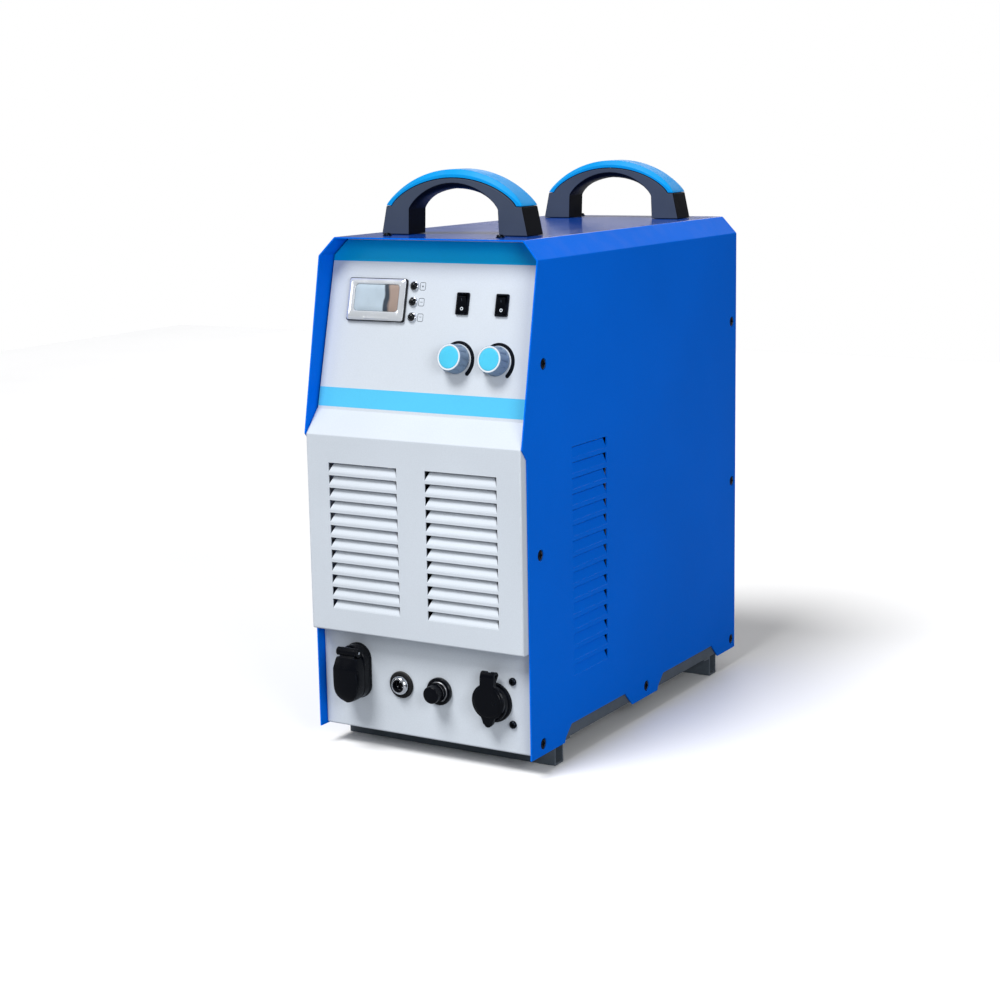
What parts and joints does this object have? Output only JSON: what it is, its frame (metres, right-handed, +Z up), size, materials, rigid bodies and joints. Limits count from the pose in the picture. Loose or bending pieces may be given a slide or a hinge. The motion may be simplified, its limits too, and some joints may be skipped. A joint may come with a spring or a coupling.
{
  "type": "air plasma cutter power unit",
  "caption": "Upright folded-steel plasma cutter case with sloping control panel, louvred front, output sockets, arched carry handles, rear fan and services",
  "frame": {"origin": "centre of the bounding box on the floor, under the feet", "axes": "+X to the right seen from the front, -Y out of the control panel, +Z up"},
  "size_m": [0.243, 0.4982, 0.5633],
  "materials": {
    "blue_paint": "glossy blue powder coat, lighter along the folds",
    "grey_paint": "satin light grey powder coat with printed bands",
    "base_steel": "dull dark grey coated steel",
    "zinc_steel": "zinc-plated steel, semi-bright",
    "black_screw": "black oxide steel",
    "handle_black": "finely textured dark grey-blue moulding",
    "handle_blue": "bright blue semi-gloss moulding",
    "meter_frame": "pale glossy moulding",
    "meter_window": "smoked reflective window",
    "circuit_green": "green solder mask on laminate",
    "chrome": "bright plating",
    "black_plastic": "black moulding, slight sheen",
    "rubber": "dull black rubber",
    "knob_grey": "grey-blue soft moulding with ribs",
    "knob_cyan": "bright cyan cap with fine turning marks",
    "brass": "machined brass, slightly dulled",
    "aluminium": "extruded or cast aluminium, satin",
    "copper_winding": "varnished copper wire round a laminated core",
    "hose_blue": "smooth blue polyurethane tube"
  },
  "bodies": {
    "case": {"air_inlet": "brass", "base_tray": "base_steel", "breaker_body": "meter_frame", "cable_gland": "black_plastic", "chassis_bracket": "zinc_steel", "control_socket_core": "black_plastic", "control_socket_gasket": "rubber", "control_socket_shell": "chrome", "current_pot": "zinc_steel", "display_board": "circuit_green", "earth_lid_pin": "zinc_steel", "earth_socket_body": "black_plastic", "earth_socket_insert": "brass", "earth_terminal": "zinc_steel", "fan_frame": "black_plastic", "fan_guard": "zinc_steel", "front_air_hose": "hose_blue", "front_foot": "base_steel", "front_handle_body": "handle_black", "front_handle_grip": "handle_blue", "front_panel": "grey_paint", "heatsink": "aluminium", "led_holder_1": "chrome", "led_holder_2": "chrome", "led_holder_3": "chrome", "lower_panel_screw": "black_screw", "meter_bezel": "meter_frame", "meter_window": "meter_window", "mode_switch_housing": "black_plastic", "power_board": "circuit_green", "rear_air_hose": "hose_blue", "rear_foot": "base_steel", "rear_handle_body": "handle_black", "rear_handle_grip": "handle_blue", "rear_panel": "grey_paint", "regulator_body": "aluminium", "regulator_ring_nut": "black_plastic", "solenoid_valve": "brass", "test_switch_housing": "black_plastic", "time_pot": "zinc_steel", "torch_lid_pin": "zinc_steel", "torch_socket_body": "black_plastic", "torch_socket_insert": "brass", "transformer": "copper_winding", "upper_panel_screw": "black_screw", "wrap_cover": "blue_paint"},
    "current_control": {"current_knob": "knob_grey", "current_knob_cap": "knob_cyan", "current_pot_shaft": "zinc_steel"},
    "time_control": {"time_knob": "knob_grey", "time_knob_cap": "knob_cyan", "time_pot_shaft": "zinc_steel"},
    "mode_rocker": {"mode_switch_rocker": "black_plastic"},
    "test_rocker": {"test_switch_rocker": "black_plastic"},
    "torch_lid": {"torch_socket_lid": "black_plastic"},
    "earth_lid": {"earth_socket_lid": "black_plastic"},
    "pressure_spindle": {"regulator_spindle": "zinc_steel"},
    "pressure_knob": {"regulator_knob": "black_plastic"},
    "fan": {"fan_rotor": "black_plastic"},
    "breaker": {"breaker_lever": "black_plastic"}
  },
  "joints": [
    {"name": "current_knob_turn", "type": "hinge", "parent": "case", "child": "current_control", "pos_m": [0.0336, -0.20899, 0.39007], "axis": [0, 0.9703, -0.2419], "range_deg": [0, 270]},
    {"name": "time_knob_turn", "type": "hinge", "parent": "case", "child": "time_control", "pos_m": [0.077, -0.20899, 0.39007], "axis": [0, 0.9703, -0.2419], "range_deg": [0, 270]},
    {"name": "mode_switch_rock", "type": "hinge", "parent": "case", "child": "mode_rocker", "pos_m": [0.034, -0.19639, 0.44062], "axis": [-1, 0, 0], "range_deg": [0, 24]},
    {"name": "test_switch_rock", "type": "hinge", "parent": "case", "child": "test_rocker", "pos_m": [0.0767, -0.19644, 0.44043], "axis": [-1, 0, 0], "range_deg": [0, 24]},
    {"name": "torch_lid_open", "type": "hinge", "parent": "case", "child": "torch_lid", "pos_m": [-0.079, -0.23965, 0.1017], "axis": [-1, 0, 0], "range_deg": [0, 110]},
    {"name": "earth_lid_open", "type": "hinge", "parent": "case", "child": "earth_lid", "pos_m": [0.076, -0.23165, 0.096], "axis": [-1, 0, 0], "range_deg": [0, 110]},
    {"name": "pressure_turn", "type": "hinge", "parent": "case", "child": "pressure_spindle", "pos_m": [0.0155, -0.22265, 0.0709], "axis": [0, 1, 0], "range_deg": [0, 720]},
    {"name": "pressure_pull", "type": "slide", "parent": "pressure_spindle", "child": "pressure_knob", "axis": [0, -1, 0], "range_m": [0, 0.003]},
    {"name": "fan_spin", "type": "hinge", "parent": "case", "child": "fan", "pos_m": [0, 0.20335, 0.349], "axis": [0, 1, 0], "continuous": true},
    {"name": "breaker_toggle", "type": "hinge", "parent": "case", "child": "breaker", "pos_m": [-0.062, 0.22515, 0.179], "axis": [1, 0, 0], "range_deg": [0, 70]}
  ]
}
